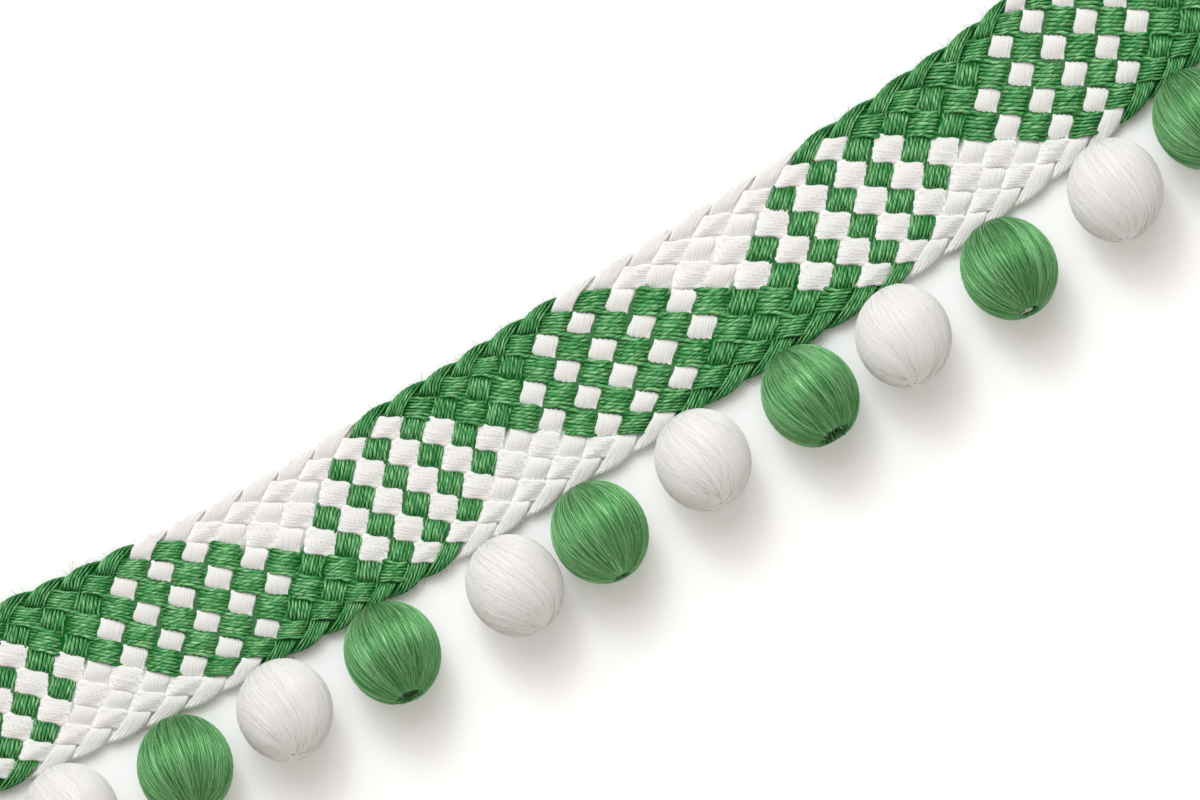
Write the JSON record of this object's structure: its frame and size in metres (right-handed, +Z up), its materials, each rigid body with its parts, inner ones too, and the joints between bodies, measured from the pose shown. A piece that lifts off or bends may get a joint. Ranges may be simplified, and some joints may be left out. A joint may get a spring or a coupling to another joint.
{
  "type": "plaited ball-edged tape",
  "caption": "Flat plaited two-colour tape with thread-wound balls tied along one edge, for trimming blinds and curtains.",
  "frame": {"origin": "on the surface it lies on, under the middle of the tape's box", "axes": "+X along the tape, +Y towards the edge without balls, +Z up from the surface"},
  "size_m": [0.2476, 0.0492, 0.014],
  "materials": {
    "plaited_cotton": "twisted cotton yarn, green and off-white checks",
    "green_thread": "wound thread, soft sheen",
    "white_thread": "wound thread, soft sheen"
  },
  "bodies": {
    "root": {"plaited_band": "plaited_cotton", "ball_01": "green_thread", "ball_02": "white_thread", "ball_03": "green_thread", "ball_04": "white_thread", "ball_05": "green_thread", "ball_06": "white_thread", "ball_07": "green_thread", "ball_08": "white_thread", "ball_09": "green_thread", "ball_10": "white_thread", "ball_11": "green_thread", "ball_12": "white_thread", "ball_13": "green_thread", "ball_14": "white_thread", "tie_01": "green_thread", "tie_02": "white_thread", "tie_03": "green_thread", "tie_04": "white_thread", "tie_05": "green_thread", "tie_06": "white_thread", "tie_07": "green_thread", "tie_08": "white_thread", "tie_09": "green_thread", "tie_10": "white_thread", "tie_11": "green_thread", "tie_12": "white_thread", "tie_13": "green_thread", "tie_14": "white_thread"}
  },
  "joints": []
}
